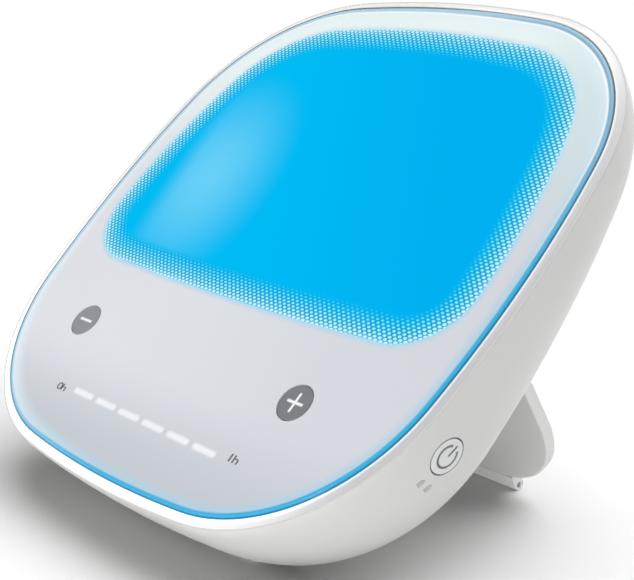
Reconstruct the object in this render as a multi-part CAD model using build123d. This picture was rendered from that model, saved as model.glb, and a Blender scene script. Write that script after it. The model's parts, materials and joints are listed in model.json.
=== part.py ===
from build123d import *
import math
import os
from collections import namedtuple

# Desk light therapy lamp: a thin wedge-shaped body with a glowing window in
# its face, leaning back on two rubber feet and a fold-out rear stand.
#
# The body is drawn in the face frame: X to the right, Y up the face, Z out of
# the face, with the origin on the middle of the clear front plate's outer
# surface. LEAN_BACK then leans it back, and placed() puts the origin on the desk.
# All lengths are in millimetres.

# ---------------------------------------------------------------- stance
face_pitch = 41.7            # angle between the face and the desk, degrees
foot_pad_stand_off = 0.5     # the rubber feet hold the housing this far up

# ---------------------------------------------------------------- clearances
running_gap = 0.3            # round a piece that moves
press_gap = 0.1              # left between a stem and its switch at full travel
seat_gap = 0.05              # between pieces that are fitted and stay put
board_gap = 0.3              # round a board in its recess
frame_gap = 0.6              # round the inner frame
tip_gap = 0.1                # past the end of a screw in its hole
past = 1.0                   # how far a cut runs past the piece it cuts

# ---------------------------------------------------------------- front plate
Outline = namedtuple(
    "Outline",
    "half_width top bottom side_radius top_radius bottom_radius "
    "top_corner bottom_corner side_height",
)
plate_outline = Outline(
    half_width=68.5,
    top=68.3,
    bottom=67.8,
    side_radius=235.0,
    top_radius=250.0,
    bottom_radius=300.0,
    top_corner=42.0,
    bottom_corner=43.0,
    side_height=-0.2,
)
window_side_margin = 7.3     # window's edge inside the plate's, at the sides
window_top_margin = 8.2      # and at the top
window_outline = Outline(
    half_width=plate_outline.half_width - window_side_margin,
    top=plate_outline.top - window_top_margin,
    bottom=20.8,
    side_radius=146.0,
    top_radius=235.0,
    bottom_radius=1040.0,
    top_corner=29.5,
    bottom_corner=15.5,
    side_height=-3.0,
)
plate_thickness = 3.0
plate_edge_bevel = 0.5
tape_width = 1.5             # adhesive ring that holds the plate
tape_inset = 0.2
film_thickness = 0.3         # printed film, as thick as the tape
film_inset = 1.8

# ---------------------------------------------------------------- bezel
bezel_top_drop = 0.35        # bezel top below the plate's surface
bezel_top_width = 0.45       # flat top round the plate
bezel_lip_growth = 1.9       # lip's edge outside the plate's outline
parting_depth = 0.9          # parting line below the plate's surface
bezel_wall = 0.75            # skirt inside the housing's rim
bezel_skirt_depth = 4.8      # below the plate's surface
ledge_width = 2.75           # carries the tape and the plate
ledge_thickness = 1.3
frame_step_room = 0.8        # the frame's step below the ledge

# ---------------------------------------------------------------- housing
housing_growth = 2.2         # widest outline outside the plate's outline
body_depth = 21.3            # at mid-height, plate surface to back
top_room = 0.13              # behind the light box's screws, at the thin top edge
side_inset = 8.2             # how far the walls draw in towards the back
top_inset = 7.0
bottom_inset = 12.3
side_roundness = 1.95        # superellipse exponents of the drawn-in walls
top_roundness = 2.6
bottom_roundness = 1.8
wall = 2.0
rim_wall = 1.05
rim_room = 0.2               # below the bezel's skirt
section_depths = (0.0, 0.2, 0.4, 0.6, 0.78, 0.9, 0.97, 1.0)

# ---------------------------------------------------------------- light box
diffuser_thickness = 1.0
guide_thickness = 2.5
guide_margin = 1.5           # guide and diffuser past the window's outline
reflector_thickness = 0.5
reflector_margin = 0.8       # past the light guide
tray_thickness = 1.0
tray_rim = 3.5               # tray past the light guide, on the frame's back
tray_boss_radius = 2.8
tray_screw_radius = 0.8
tray_screw_head_radius = 1.5
tray_screw_head_height = 0.6
tray_screw_shares = (0.07, 0.21, 0.34)   # both ways round from the top's middle
led_strip_margin = 11.2      # each end, inside the window's side
led_strip_height = 2.4
led_strip_thickness = 1.0
led_length = 3.0
led_height = 1.4
led_depth = 0.8
led_count = 14
led_bar_thickness = 1.2      # aluminium bar that cools the strip

# ---------------------------------------------------------------- controls
button_radius = 4.15
button_span = 38.2           # from the pair's middle to each button
button_shift = -1.4          # the pair's middle from the face's
button_height = -37.5
button_travel = 0.5
button_flange = 1.2          # flange wider than the button by this
button_flange_thickness = 1.0
button_stem_radius = 1.5
button_edge_bevel = 0.25
light_bar_length = 7.4
light_bar_width = 1.35
light_bar_pitch = 8.97
light_bar_height = -53.7
light_bar_count = 6
light_bar_shift = 0.8
board_side_margin = 18.5     # inside the plate's side
board_height = 32.0
board_corner = 8.0
board_middle = -43.0
board_thickness = 1.2
board_depth = 10.4           # board's front below the plate's surface
board_post_inset = 5.0       # posts from the board's edges
switch_size = 4.5
switch_thickness = 2.4
plunger_radius = 1.1
plunger_height = 0.7
indicator_led_size = 2.0
indicator_led_thickness = 1.0
pipe_gap = 0.05              # round each light pipe
chip_size = 7.0              # driver chip on the board's back
chip_thickness = 1.1
coil_radius = 3.2
coil_height = 3.0
capacitor_radius = 2.0
capacitor_height = 3.4
driver_inset = 6.0           # driver parts from the board's ends
driver_drop = 2.5            # below the board's middle
capacitor_offset = 11.0      # up from the coil

# ---------------------------------------------------------------- power button
power_height = -32.7
power_depth = 10.6           # below the plate's surface
power_radius = 3.75
power_travel = 0.5
power_cap_thickness = 1.9
power_stem_radius = 1.4
power_stem_length = 3.6
power_flange = 1.0
power_flange_thickness = 0.8
power_switch_size = 3.6
power_board_width = 10.0
power_post_radius = 1.6
power_post_offset = 3.0      # each post from the button's middle plane
power_room_depth = 20.0      # kept clear behind the button
power_screw_bite = 3.0       # into each post
power_screw_head_radius = 1.25
status_length = 1.25         # two battery-shaped lights beside the power button
status_width = 1.1
status_tip_length = 0.35
status_tip_width = 0.5
status_depth = 2.2
status_drop = 6.9            # below the button's middle
status_start = 0.45          # the first one, towards the back from the button's middle
status_spacing = 2.65
status_rise = 0.45           # the second one higher than the first

# ---------------------------------------------------------------- stand
hinge_height = 3.0           # along the back, from its middle
hinge_inset = 1.7            # axle's middle below the back's surface
flap_side_margin = 16.3      # inside the plate's side
flap_taper = 2.4             # each side, narrower at the axle
flap_length = 51.2           # axle to the flap's lower edge
flap_thickness = 3.0
flap_corner = 20.5
flap_edge_round = 0.5
flap_bore_gap = 0.04         # round the axle
flap_knuckle_radius = 1.65
recess_depth = 3.6
recess_gap = 0.4
axle_radius = 1.0
axle_seat = 1.8              # how far the axle enters each side of the recess
washer_radius = 1.55
washer_thickness = 0.35
foot_bar_radius = 1.35
foot_bar_margin = 16.6       # inside the flap's side
foot_bar_drop = 3.4          # bar's middle below the flap's lower edge
foot_rod_radius = 0.7
foot_rod_inset = 0.6         # each end, inside the bar's

# ---------------------------------------------------------------- power supply
battery_length = 64.0
battery_width = 26.0
battery_thickness = 5.0
battery_radius = 2.0
battery_middle = -33.0       # along the back
battery_tape = 0.4
socket_height = -32.0        # on the side opposite the power button
socket_depth = 13.5
socket_length = 10.0
socket_body = 7.0
socket_bore = 2.6
socket_pin = 0.8
socket_bore_length = 9.0
socket_gap = 0.4             # behind the housing's wall
socket_mouth_wall = 0.7
socket_mouth_inset = 0.35    # mouth below the housing's surface
socket_pin_inset = 1.2

# ---------------------------------------------------------------- fasteners
boss_radius = 3.0
screw_radius = 1.1
screw_head_radius = 2.1
screw_head_height = 1.4
screw_recess_depth = 1.8
screw_boss_wall = 1.0        # housing round each screw's boss
tray_hole_skin = 0.8         # tray left over the end of each screw hole
post_hole_skin = 0.3         # frame left over each board screw
frame_hole_skin = 0.9        # frame left over each tray screw
bezel_hole_skin = 0.4        # bezel left over each of its screws
screw_floor = 1.6            # housing material under each screw head
back_screw_rows = ((30.5, 30.0), (20.5, 11.0))   # inside the plate's side, height on the back
screw_spot = 0.3             # round a screw's head
bezel_screw_radius = 0.6
bezel_screw_head_radius = 0.95
bezel_screw_head_height = 0.7
bezel_screw_sink = 1.5       # counterbore in the frame's back
bezel_screw_inset = 1.9      # inside the plate's edge
bezel_screw_count = 8

# ---------------------------------------------------------------- feet
foot_pad_length = 13.0
foot_pad_width = 4.6
foot_pad_span = 20.0
foot_pad_reach = 5.0         # the pad's blank, up into the housing

# ---------------------------------------------------------------- widths that follow the plate
board_width = 2 * (plate_outline.half_width - board_side_margin)
led_strip_length = 2 * (window_outline.half_width - led_strip_margin)
flap_half_width = plate_outline.half_width - flap_side_margin
hinge_half_width = flap_half_width - flap_taper
foot_bar_half_length = flap_half_width - foot_bar_margin
back_screw_places = [
    (side * (plate_outline.half_width - margin), height)
    for margin, height in back_screw_rows for side in (-1, 1)
]


# ================================================================ drawing tools
def unit(x, y):
    length = math.hypot(x, y)
    return x / length, y / length


def corner_centre(centre_a, radius_a, centre_b, radius_b, radius, side):
    """Centre of the corner arc that touches two big arcs from inside."""
    reach_a = radius_a - radius
    reach_b = radius_b - radius
    dx, dy = centre_b[0] - centre_a[0], centre_b[1] - centre_a[1]
    span = math.hypot(dx, dy)
    along = (reach_a**2 - reach_b**2 + span**2) / (2 * span)
    across = math.sqrt(reach_a**2 - along**2)
    ex, ey = dx / span, dy / span
    found = [
        (centre_a[0] + along * ex - s * across * ey,
         centre_a[1] + along * ey + s * across * ex)
        for s in (1, -1)
    ]
    return max(found, key=lambda c: side * c[1] + c[0])


def grown(outline, distance):
    """The parallel outline, distance further out."""
    values = [v + distance for v in outline[:-1]]
    return Outline(*values, outline.side_height)


def drawn_in(outline, side, top, bottom):
    """The outline with its own inset for the sides, the top and the bottom."""
    return Outline(
        outline.half_width - side,
        outline.top - top,
        outline.bottom - bottom,
        outline.side_radius - side,
        outline.top_radius - top,
        outline.bottom_radius - bottom,
        outline.top_corner - side,
        outline.bottom_corner - side,
        outline.side_height,
    )


def outline_wire(outline, plane):
    """Closed wire of eight tangent arcs."""
    o = outline
    side = (o.half_width - o.side_radius, o.side_height)
    top = (0.0, o.top - o.top_radius)
    bottom = (0.0, o.bottom_radius - o.bottom)
    upper = corner_centre(side, o.side_radius, top, o.top_radius, o.top_corner, 1)
    lower = corner_centre(side, o.side_radius, bottom, o.bottom_radius, o.bottom_corner, -1)

    def on_arc(centre, radius, direction):
        return centre[0] + radius * direction[0], centre[1] + radius * direction[1]

    def towards(a, b):
        return unit(b[0] - a[0], b[1] - a[1])

    def between(a, b):
        return unit(a[0] + b[0], a[1] + b[1])

    top_way, upper_way = towards(top, upper), towards(side, upper)
    lower_way, bottom_way = towards(side, lower), towards(bottom, lower)
    right = [
        on_arc(top, o.top_radius, top_way),
        on_arc(upper, o.top_corner, between(top_way, upper_way)),
        on_arc(side, o.side_radius, upper_way),
        on_arc(side, o.side_radius, between(upper_way, lower_way)),
        on_arc(side, o.side_radius, lower_way),
        on_arc(lower, o.bottom_corner, between(lower_way, bottom_way)),
        on_arc(bottom, o.bottom_radius, bottom_way),
    ]
    left = [(-x, y) for x, y in reversed(right)]
    ring = [(0.0, o.top)] + right + [(0.0, -o.bottom)] + left
    points = [plane.from_local_coords((x, y, 0)) for x, y in ring]
    arcs = [
        ThreePointArc(points[i - 1], points[i], points[(i + 1) % 16])
        for i in range(0, 16, 2)
    ]
    return Wire(arcs)


def level(z):
    """A plane parallel to the face."""
    return Plane((0, 0, z))


def slab(outline, low, high):
    """Prism of an outline between two levels of the face frame."""
    return extrude(Face(outline_wire(outline, level(low))), high - low, dir=(0, 0, 1))


def ruled_band(lower, low, upper, high):
    """Solid whose straight sides run from one outline to another."""
    wires = [outline_wire(lower, level(low)), outline_wire(upper, level(high))]
    return Solid.make_loft(wires, ruled=True)


def box(x, y, z, low_corner):
    return Location(low_corner) * Box(x, y, z, align=Align.MIN)


def rod(radius, low, high, x=0.0, y=0.0):
    """Cylinder along the face frame's Z."""
    return Location((x, y, low)) * Cylinder(radius, high - low, align=(Align.CENTER, Align.CENTER, Align.MIN))


def along_x(radius, low, high):
    """Cylinder along X round the origin."""
    return Location((low, 0, 0), (0, 90, 0)) * Cylinder(
        radius, high - low, align=(Align.CENTER, Align.CENTER, Align.MIN)
    )


def slot_bar(length, width, low, high, x, y):
    """Bar with round ends, along the face frame's Z."""
    return Location((x, y, low)) * extrude(SlotOverall(length, width), high - low)


def biggest(shape):
    """The largest solid of a cut shape."""
    return max(shape.solids(), key=lambda s: s.volume)


# ================================================================ levels of the stack
plate_back = -plate_thickness
film_back = plate_back - film_thickness
ledge_back = film_back - ledge_thickness
diffuser_back = film_back - diffuser_thickness
guide_back = diffuser_back - guide_thickness
reflector_back = guide_back - reflector_thickness
tray_back = reflector_back - tray_thickness
frame_front = film_back
frame_back = guide_back
frame_step = ledge_back - frame_step_room
board_front = -board_depth
board_back = board_front - board_thickness
rim_depth = bezel_skirt_depth + rim_room

# the thin top edge is as deep as the light box needs, and the back slopes down to it
top_depth = -tray_back + tray_screw_head_height + wall + top_room
body_wedge = math.degrees(math.atan((body_depth - top_depth) / plate_outline.top))

guide_outline = grown(window_outline, guide_margin)
reflector_outline = grown(window_outline, guide_margin + reflector_margin)


# ================================================================ housing shape
def draw_in_share(depth_share, roundness):
    return 1 - (1 - depth_share**roundness) ** (1 / roundness)


def back_plane(depth_share, full_depth):
    """Plane of one section: the first lies along the parting line, the last along the back."""
    slope = math.atan(depth_share * math.tan(math.radians(body_wedge)))
    origin = (0, 0, -parting_depth - depth_share * (full_depth - parting_depth))
    normal = (0, -math.sin(slope), math.cos(slope))
    return Plane(origin, x_dir=(1, 0, 0), z_dir=normal)


def bowl(full_depth, growth):
    """Solid of the drawn-in wedge, from the parting line to the back."""
    widest = grown(plate_outline, growth)
    wires = []
    for share in section_depths:
        section = drawn_in(
            widest,
            side_inset * draw_in_share(share, side_roundness),
            top_inset * draw_in_share(share, top_roundness),
            bottom_inset * draw_in_share(share, bottom_roundness),
        )
        wires.append(outline_wire(section, back_plane(share, full_depth)))
    return Solid.make_loft(wires)


outer_body = bowl(body_depth, housing_growth)
cavity = bowl(body_depth - wall, housing_growth - wall)
cavity_with_gap = bowl(body_depth - wall - seat_gap, housing_growth - wall - seat_gap)

BACK = Plane(
    (0, 0, -body_depth),
    x_dir=(1, 0, 0),
    z_dir=(0, -math.sin(math.radians(body_wedge)), math.cos(math.radians(body_wedge))),
)
TO_BACK = Location(BACK)     # local Z points into the body, local Y up the back
HINGE = TO_BACK * Location((0, hinge_height, hinge_inset))


# ================================================================ front stack
def make_front_plate():
    """Clear plate with a bevelled edge and two button holes."""
    inner = grown(plate_outline, -plate_edge_bevel)
    plate = slab(plate_outline, plate_back, -plate_edge_bevel)
    plate += ruled_band(plate_outline, -plate_edge_bevel, inner, 0.0)
    for x in button_places():
        plate -= rod(button_radius + running_gap / 2, plate_back - past, past, x, button_height)
    return plate


def button_places():
    return button_shift - button_span, button_shift + button_span


def make_tape():
    ring = slab(grown(plate_outline, -tape_inset), film_back, plate_back)
    return ring - slab(grown(plate_outline, -tape_inset - tape_width), film_back - past, plate_back + past)


def make_film():
    """Printed film with a clear window and openings for the lit bars and buttons."""
    film = slab(grown(plate_outline, -film_inset), film_back, plate_back)
    film -= slab(window_outline, film_back - past, plate_back + past)
    for x in button_places():
        film -= rod(button_radius + running_gap, film_back - past, plate_back + past, x, button_height)
    return film


def make_bezel():
    """Ring round the plate with a ledge behind it and a skirt inside the housing."""
    rim = grown(plate_outline, bezel_lip_growth)
    crest = grown(plate_outline, seat_gap + bezel_top_width)
    skirt = grown(plate_outline, seat_gap + bezel_wall)
    lip_back = -parting_depth
    ring = ruled_band(rim, lip_back, crest, -bezel_top_drop)
    ring += slab(skirt, -bezel_skirt_depth, lip_back)
    ring -= slab(grown(plate_outline, seat_gap), film_back, past)
    ring -= slab(grown(plate_outline, seat_gap), -bezel_skirt_depth - past, ledge_back)
    ring -= slab(grown(plate_outline, -ledge_width), ledge_back - past, film_back + past)
    for x, y in bezel_screw_places():
        ring -= rod(bezel_screw_radius + seat_gap / 2, ledge_back - past, film_back - bezel_hole_skin, x, y)
    ring -= power_room(power_radius)
    return biggest(ring)


def round_the_outline(outline, shares):
    """Points on an outline, by their share of its length from the top's middle."""
    wire = outline_wire(outline, level(0))
    start = wire.param_at_point((0, outline.top, 0))
    points = [wire.position_at((start + share) % 1) for share in shares]
    return [(p.X, p.Y) for p in points]


def bezel_screw_places():
    shares = [k / bezel_screw_count for k in range(bezel_screw_count)]
    return round_the_outline(grown(plate_outline, -bezel_screw_inset), shares)


def make_diffuser():
    return slab(guide_outline, diffuser_back, film_back)


def make_light_guide():
    return slab(guide_outline, guide_back, diffuser_back)


def make_reflector():
    """White sheet behind the light guide."""
    return slab(reflector_outline, reflector_back, guide_back)


def make_light_tray():
    """Cover that closes the light box and takes the housing's screws."""
    outline = grown(guide_outline, tray_rim)
    tray = slab(outline, tray_back, guide_back) - slab(grown(reflector_outline, seat_gap), reflector_back, past)
    tray = tray & cavity_with_gap
    for x, y in tray_screw_places():
        tray -= rod(tray_screw_radius + seat_gap, tray_back - past, past, x, y)
    for x, y in back_screw_places:
        boss = TO_BACK * rod(tray_boss_radius, wall + screw_floor, body_depth, x, y)
        tray += boss & slab(outline, -body_depth, reflector_back)
        tray -= TO_BACK * rod(screw_radius, -past, tray_floor(y), x, y)
    return biggest(tray)


def tray_floor(y):
    """Where the screw holes end, from the back's surface, just short of the reflector."""
    lean = math.radians(body_wedge)
    at_tray = (body_depth + reflector_back) / math.cos(lean) - y * math.tan(lean)
    return at_tray - tray_hole_skin


def tray_screw_places():
    shares = [side * share for side in (-1, 1) for share in tray_screw_shares]
    return round_the_outline(grown(guide_outline, tray_rim / 2), shares)


def make_tray_screws():
    screws = []
    for x, y in tray_screw_places():
        screw = rod(tray_screw_radius, tray_back, frame_front - frame_hole_skin - tip_gap, x, y)
        screw += rod(tray_screw_head_radius, tray_back - tray_screw_head_height, tray_back, x, y)
        screws.append(screw)
    return screws


# the light strip stands in a slot of the frame, below the light guide
strip_top = -guide_outline.bottom - led_depth
strip_middle_z = (diffuser_back + guide_back) / 2


def make_led_strip():
    return box(
        led_strip_length, led_strip_thickness, led_strip_height,
        (-led_strip_length / 2, strip_top - led_strip_thickness, strip_middle_z - led_strip_height / 2),
    )


def make_strip_leds():
    pitch = led_strip_length / led_count
    first = (pitch - led_strip_length - led_length) / 2
    return [
        box(led_length, led_depth - seat_gap, led_height,
            (first + k * pitch, strip_top, strip_middle_z - led_height / 2))
        for k in range(led_count)
    ]


def make_led_bar():
    low = strip_top - led_strip_thickness - led_bar_thickness
    return box(
        led_strip_length, led_bar_thickness, led_strip_height,
        (-led_strip_length / 2, low, strip_middle_z - led_strip_height / 2),
    )


def strip_pocket():
    low_y = strip_top - led_strip_thickness - led_bar_thickness - seat_gap
    low_z = strip_middle_z - led_strip_height / 2 - seat_gap
    height = past - guide_outline.bottom - low_y
    return box(
        led_strip_length + 2 * board_gap, height, diffuser_back - low_z + body_depth,
        (-led_strip_length / 2 - board_gap, low_y, low_z - body_depth),
    )


def frame_back_outline():
    """Outline of the frame's back, clear of the housing's drawn-in walls."""
    def inset_at(height, inset, roundness):
        full_depth = body_depth - wall - height * math.tan(math.radians(body_wedge))
        share = (-frame_back - parting_depth) / (full_depth - parting_depth)
        return inset * draw_in_share(share, roundness)

    return drawn_in(
        grown(plate_outline, housing_growth - wall - frame_gap),
        inset_at(0, side_inset, side_roundness),
        inset_at(plate_outline.top, top_inset, top_roundness),
        inset_at(-plate_outline.bottom, bottom_inset, bottom_roundness),
    )


def make_frame():
    """Inner frame that holds the light guide, the buttons and the light bars."""
    frame = slab(grown(plate_outline, -ledge_width - seat_gap), frame_step, frame_front)
    frame += slab(grown(plate_outline, -frame_gap), frame_step, ledge_back)
    frame += slab(frame_back_outline(), frame_back, frame_step)
    frame -= slab(grown(guide_outline, seat_gap), frame_back - past, frame_front + past)
    frame -= strip_pocket()
    flange = button_radius + button_flange
    for x in button_places():
        frame -= rod(button_radius + running_gap, frame_back - past, frame_front + past, x, button_height)
        low = frame_front - button_flange_thickness - button_travel - 2 * running_gap
        frame -= rod(flange + running_gap, low, frame_front + past, x, button_height)
    for x in light_bar_places():
        frame -= slot_bar(light_bar_length + 2 * pipe_gap, light_bar_width + 2 * pipe_gap,
                          frame_back - past, frame_front + past, x, light_bar_height)
    for x, y in bezel_screw_places():
        frame -= rod(bezel_screw_radius + 2 * seat_gap, frame_back - past, ledge_back + past, x, y)
        frame -= rod(bezel_screw_head_radius + seat_gap, frame_back - past, frame_back + bezel_screw_sink, x, y)
    for x, y in tray_screw_places():
        frame -= rod(tray_screw_radius + seat_gap / 2, frame_back - past, frame_front - frame_hole_skin, x, y)
    frame -= power_room(power_radius + power_flange)
    for x, y in board_post_places():
        frame += rod(boss_radius, board_front, frame_back + past / 2, x, y)
        frame -= rod(screw_radius, board_front - past, frame_back - post_hole_skin, x, y)
    return frame


def board_post_places():
    post_x = board_width / 2 - board_post_inset
    post_y = board_height / 2 - board_post_inset
    return [(sx * post_x, board_middle + sy * post_y) for sx in (-1, 1) for sy in (-1, 1)]


def light_bar_places():
    return [light_bar_shift + (k - (light_bar_count - 1) / 2) * light_bar_pitch for k in range(light_bar_count)]


def make_light_pipes():
    low = board_front + indicator_led_thickness + running_gap
    return [
        slot_bar(light_bar_length, light_bar_width, low, frame_front, x, light_bar_height)
        for x in light_bar_places()
    ]


def make_bezel_screws():
    screws = []
    seat = frame_back + bezel_screw_sink
    for x, y in bezel_screw_places():
        screw = rod(bezel_screw_radius, seat, film_back - bezel_hole_skin - tip_gap / 2, x, y)
        screw += rod(bezel_screw_head_radius, seat - bezel_screw_head_height, seat, x, y)
        screws.append(screw)
    return screws


# ================================================================ face buttons and board
def make_face_button(side):
    """Cap flush with the plate, a flange that keeps it in, and a stem."""
    x = button_shift + side * button_span
    flange_top = frame_front - running_gap
    flange_back = flange_top - button_flange_thickness
    stem_end = board_front + switch_thickness + plunger_height + button_travel + press_gap
    cap = rod(button_radius, flange_back, 0.0, x, button_height)
    cap = chamfer(cap.edges().group_by(Axis.Z)[-1], button_edge_bevel)
    cap += rod(button_radius + button_flange, flange_back, flange_top, x, button_height)
    cap += rod(button_stem_radius, stem_end, flange_back, x, button_height)
    return cap


def make_control_board():
    corner = (-board_width / 2, board_middle - board_height / 2, board_back)
    board = box(board_width, board_height, board_thickness, corner)
    board = fillet(board.edges().filter_by(Axis.Z), board_corner)
    for x, y in board_post_places():
        board -= rod(screw_radius + 2 * seat_gap, board_back - past, board_front + past, x, y)
    return board


def make_face_switches():
    switches = []
    for x in button_places():
        body = box(switch_size, switch_size, switch_thickness,
                   (x - switch_size / 2, button_height - switch_size / 2, board_front))
        top = board_front + switch_thickness
        switches.append(body + rod(plunger_radius, top, top + plunger_height, x, button_height))
    return switches


def make_indicator_leds():
    half = indicator_led_size / 2
    return [
        box(indicator_led_size, indicator_led_size, indicator_led_thickness,
            (x - half, light_bar_height - half, board_front))
        for x in light_bar_places()
    ]


def make_board_screws():
    screws = []
    for x, y in board_post_places():
        screw = rod(screw_radius - seat_gap, board_back, frame_back - post_hole_skin - tip_gap, x, y)
        screw += rod(screw_head_radius, board_back - screw_head_height, board_back, x, y)
        screws.append(screw)
    return screws


def make_driver_parts():
    """Power parts on the back of the control board."""
    height = board_middle - driver_drop
    end = board_width / 2 - driver_inset
    corner = (-end, height - chip_size / 2, board_back - chip_thickness)
    chip = box(chip_size, chip_size, chip_thickness, corner)
    coil = rod(coil_radius, board_back - coil_height, board_back, end - coil_radius, height)
    capacitor = rod(capacitor_radius, board_back - capacitor_height, board_back,
                    end - 2 * coil_radius, height + capacitor_offset)
    return [chip, coil, capacitor]


# ================================================================ stand, drawn about its axle
# The stand's own frame has the axle along X, the flap running to -Y and its
# stowed inner side towards +Z.
def flap_sketch(grow):
    """Round lower corners, and sides that draw in towards the axle."""
    half = flap_half_width + grow
    top = hinge_half_width + grow
    start = -washer_radius - running_gap
    low = -flap_length - grow
    r = flap_corner + grow
    return Face(Wire([
        Line((-top, 0), (-top, start)),
        Line((-top, start), (-half, low + r)),
        ThreePointArc((-half, low + r),
                      (-half + r * (1 - math.sqrt(0.5)), low + r * (1 - math.sqrt(0.5))),
                      (-half + r, low)),
        Line((-half + r, low), (half - r, low)),
        ThreePointArc((half - r, low),
                      (half - r * (1 - math.sqrt(0.5)), low + r * (1 - math.sqrt(0.5))),
                      (half, low + r)),
        Line((half, low + r), (top, start)),
        Line((top, start), (top, 0)),
        Line((top, 0), (-top, 0)),
    ]))


def make_flap():
    plate = Location((0, 0, -flap_thickness / 2)) * extrude(flap_sketch(0), flap_thickness)
    plate = fillet(plate.edges().filter_by(lambda e: e.center().Y < -past), flap_edge_round)
    flap = plate + along_x(flap_knuckle_radius, -hinge_half_width, hinge_half_width)
    flap -= along_x(axle_radius + flap_bore_gap, -hinge_half_width - past, hinge_half_width + past)
    return flap


def make_foot_bar():
    """Rubber bar with a tongue as thick as itself, glued under the flap's lower edge."""
    y = -flap_length - foot_bar_drop
    bar = Location((0, y, 0)) * along_x(foot_bar_radius, -foot_bar_half_length, foot_bar_half_length)
    tongue = box(2 * foot_bar_half_length, foot_bar_drop, 2 * foot_bar_radius,
                 (-foot_bar_half_length, y, -foot_bar_radius))
    reach = foot_bar_half_length + past
    bore = Location((0, y, 0)) * along_x(foot_rod_radius + seat_gap, -reach, reach)
    return bar + tongue - bore


def make_foot_rod():
    y = -flap_length - foot_bar_drop
    reach = foot_bar_half_length - foot_rod_inset
    return Location((0, y, 0)) * along_x(foot_rod_radius, -reach, reach)


def make_axle():
    reach = hinge_half_width + recess_gap + axle_seat
    return along_x(axle_radius, -reach, reach)


def make_hinge_washers():
    washers = []
    for side in (-1, 1):
        near = side * (hinge_half_width + seat_gap / 2)
        far = near + side * washer_thickness
        low, high = min(near, far), max(near, far)
        bore = along_x(axle_radius + seat_gap / 2, low - past, high + past)
        washers.append(along_x(washer_radius, low, high) - bore)
    return washers


def recess_cut():
    """Room for the folded stand, in the back's own frame."""
    hinge_room = flap_knuckle_radius + recess_gap
    shape = flap_sketch(recess_gap)
    cut = Location((0, hinge_height, -past)) * extrude(shape, recess_depth + past)
    cut += box(2 * (hinge_half_width + recess_gap), hinge_room + past, recess_depth + past,
               (-hinge_half_width - recess_gap, hinge_height - past, -past))
    low = hinge_height - flap_length - foot_bar_drop - foot_bar_radius - recess_gap
    cut += box(2 * (foot_bar_half_length + recess_gap), hinge_height - low - flap_length / 2,
               hinge_inset + foot_bar_radius + recess_gap + past,
               (-foot_bar_half_length - recess_gap, low, -past))
    return TO_BACK * cut


def recess_pan():
    """Wall round the recess, inside the housing."""
    shape = flap_sketch(recess_gap + wall)
    pan = Location((0, hinge_height, 0)) * extrude(shape, recess_depth + wall)
    half = hinge_half_width + recess_gap + wall
    pan += box(2 * half, flap_knuckle_radius + recess_gap + wall + past, recess_depth + wall,
               (-half, hinge_height - past, 0))
    low = hinge_height - flap_length - foot_bar_drop - foot_bar_radius - recess_gap - wall
    half_foot = foot_bar_half_length + recess_gap + wall
    pan += box(2 * half_foot, flap_length / 2, recess_depth + wall, (-half_foot, low, 0))
    return TO_BACK * pan


# ================================================================ power button and socket
def side_point(outline, height):
    """Distance from the middle, and the outward direction, of an outline at a height."""
    side = (outline.half_width - outline.side_radius, outline.side_height)
    bottom = (0.0, outline.bottom_radius - outline.bottom)
    lower = corner_centre(side, outline.side_radius, bottom, outline.bottom_radius, outline.bottom_corner, -1)
    joint = side[1] + outline.side_radius * unit(lower[0] - side[0], lower[1] - side[1])[1]
    centre, radius = (lower, outline.bottom_corner) if height < joint else (side, outline.side_radius)
    x = centre[0] + math.sqrt(radius**2 - (height - centre[1]) ** 2)
    return x, unit(x - centre[0], height - centre[1])


def wall_frame(height, depth, side):
    """Frame on the housing's side wall: origin on the surface, Z out, Y up the wall."""
    full_depth = body_depth - height * math.tan(math.radians(body_wedge))
    share = (depth - parting_depth) / (full_depth - parting_depth)
    step = 0.01

    def inset_at(s):
        return side_inset * draw_in_share(s, side_roundness)

    x, outward = side_point(drawn_in(grown(plate_outline, housing_growth), inset_at(share), 0, 0), height)
    slope = (inset_at(share + step) - inset_at(share - step)) / (2 * step * full_depth)
    normal = Vector(side * outward[0], outward[1], -slope).normalized()
    x_dir = Vector(0, 1, 0).cross(normal).normalized()
    return Location(Plane((side * x, height, -depth), x_dir=x_dir, z_dir=normal))


POWER = wall_frame(power_height, power_depth, 1)
SOCKET = wall_frame(socket_height, socket_depth, -1)


def make_power_button():
    """Cap that follows the housing's curve, with a flange and a stem."""
    cap = POWER * rod(power_radius, -power_cap_thickness, 2 * wall)
    cap = cap & outer_body
    neck_back = -wall - running_gap
    cap += POWER * rod(power_radius, neck_back - power_flange_thickness, running_gap - power_cap_thickness)
    flange = POWER * rod(power_radius + power_flange, neck_back - power_flange_thickness, neck_back)
    cap += flange & slab(plate_outline, -2 * body_depth, ledge_back - running_gap)
    cap += POWER * rod(power_stem_radius, neck_back - power_flange_thickness - power_stem_length, neck_back)
    return cap


def power_room(radius):
    """Space round the power button, from behind the housing's wall outwards."""
    return POWER * rod(radius + running_gap, -wall - power_room_depth, wall)


def power_stem_end():
    return -wall - running_gap - power_flange_thickness - power_stem_length


def power_board_top():
    return power_stem_end() - power_travel - press_gap - plunger_height - switch_thickness


def make_power_switch():
    tip = power_stem_end() - power_travel - press_gap
    half = power_switch_size / 2
    body = box(power_switch_size, power_switch_size, switch_thickness, (-half, -half, power_board_top()))
    return POWER * (body + rod(plunger_radius, tip - plunger_height, tip))


def power_post_places():
    reach = power_radius + power_flange + 2 * running_gap + power_post_radius
    x = math.sqrt(reach**2 - power_post_offset**2)
    return [(x, -power_post_offset), (x, power_post_offset)]


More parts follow.
